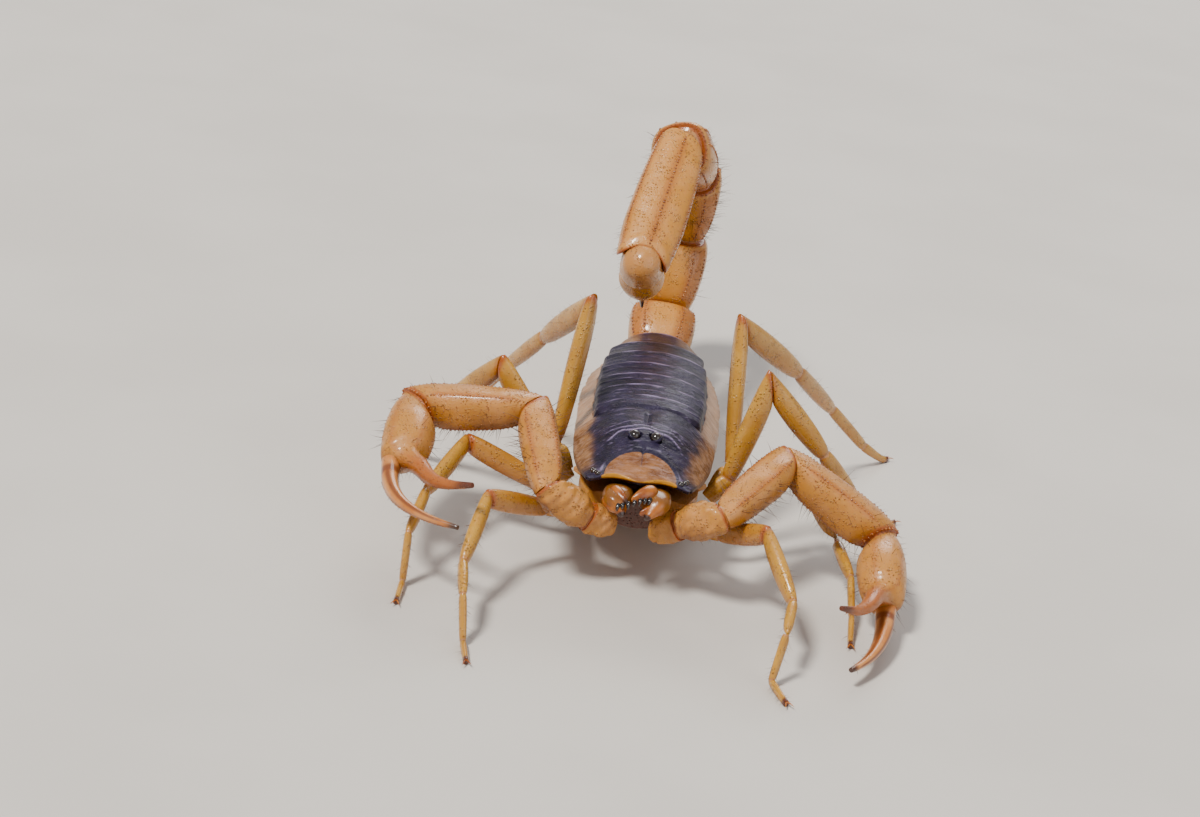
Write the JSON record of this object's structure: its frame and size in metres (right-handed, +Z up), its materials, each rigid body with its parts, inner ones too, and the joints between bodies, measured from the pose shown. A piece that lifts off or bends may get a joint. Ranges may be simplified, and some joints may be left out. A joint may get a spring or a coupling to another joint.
{
  "type": "desert scorpion",
  "caption": "Life-size still model of a desert scorpion in its threat stance, claws forward and tail arched over the back, standing on small flat soles.",
  "frame": {"origin": "centre of the bounding box in X and Y, on the floor plane under the soles", "axes": "+Z up, head towards -Y, the animal's left side towards +X"},
  "size_m": [0.0558, 0.0838, 0.0347],
  "materials": {
    "amber_cuticle": "translucent amber cuticle, satin to glossy, finely granular",
    "slate_cuticle": "dark violet-slate cuticle, waxy, with a pinkish-orange crescent at the front of the head shield",
    "pale_cuticle": "cream to pale tan, softly wrinkled membrane and smooth belly plates",
    "orange_cuticle": "orange-brown hard cuticle of the jaws and claws, glossy",
    "dark_cuticle": "glossy black-brown eyes and sting"
  },
  "bodies": {
    "root": {"abdomen": "pale_cuticle", "carapace": "slate_cuticle", "chelicera_left": "orange_cuticle", "chelicera_right": "orange_cuticle", "coxae": "amber_cuticle", "eye_median_left": "dark_cuticle", "eye_median_right": "dark_cuticle", "genital_operculum": "amber_cuticle", "leg_1_left_lower": "amber_cuticle", "leg_1_left_upper": "amber_cuticle", "leg_1_right_lower": "amber_cuticle", "leg_1_right_upper": "amber_cuticle", "leg_2_left_lower": "amber_cuticle", "leg_2_left_upper": "amber_cuticle", "leg_2_right_lower": "amber_cuticle", "leg_2_right_upper": "amber_cuticle", "leg_3_left_lower": "amber_cuticle", "leg_3_left_upper": "amber_cuticle", "leg_3_right_lower": "amber_cuticle", "leg_3_right_upper": "amber_cuticle", "leg_4_left_lower": "amber_cuticle", "leg_4_left_upper": "amber_cuticle", "leg_4_right_lower": "amber_cuticle", "leg_4_right_upper": "amber_cuticle", "metasoma_1": "amber_cuticle", "metasoma_2": "amber_cuticle", "metasoma_3": "amber_cuticle", "metasoma_4": "amber_cuticle", "metasoma_5": "amber_cuticle", "pecten_left": "amber_cuticle", "pecten_right": "amber_cuticle", "pedipalp_left_coxa": "amber_cuticle", "pedipalp_left_femur": "amber_cuticle", "pedipalp_left_finger": "orange_cuticle", "pedipalp_left_hand": "amber_cuticle", "pedipalp_left_patella": "amber_cuticle", "pedipalp_left_trochanter": "amber_cuticle", "pedipalp_right_coxa": "amber_cuticle", "pedipalp_right_femur": "amber_cuticle", "pedipalp_right_finger": "orange_cuticle", "pedipalp_right_hand": "amber_cuticle", "pedipalp_right_patella": "amber_cuticle", "pedipalp_right_trochanter": "amber_cuticle", "sternite_3": "pale_cuticle", "sternite_4": "pale_cuticle", "sternite_5": "pale_cuticle", "sternite_6": "pale_cuticle", "sternite_7": "pale_cuticle", "sting": "dark_cuticle", "telson_vesicle": "amber_cuticle", "tergite_1": "slate_cuticle", "tergite_2": "slate_cuticle", "tergite_3": "slate_cuticle", "tergite_4": "slate_cuticle", "tergite_5": "slate_cuticle", "tergite_6": "slate_cuticle", "tergite_7": "slate_cuticle"}
  },
  "joints": []
}
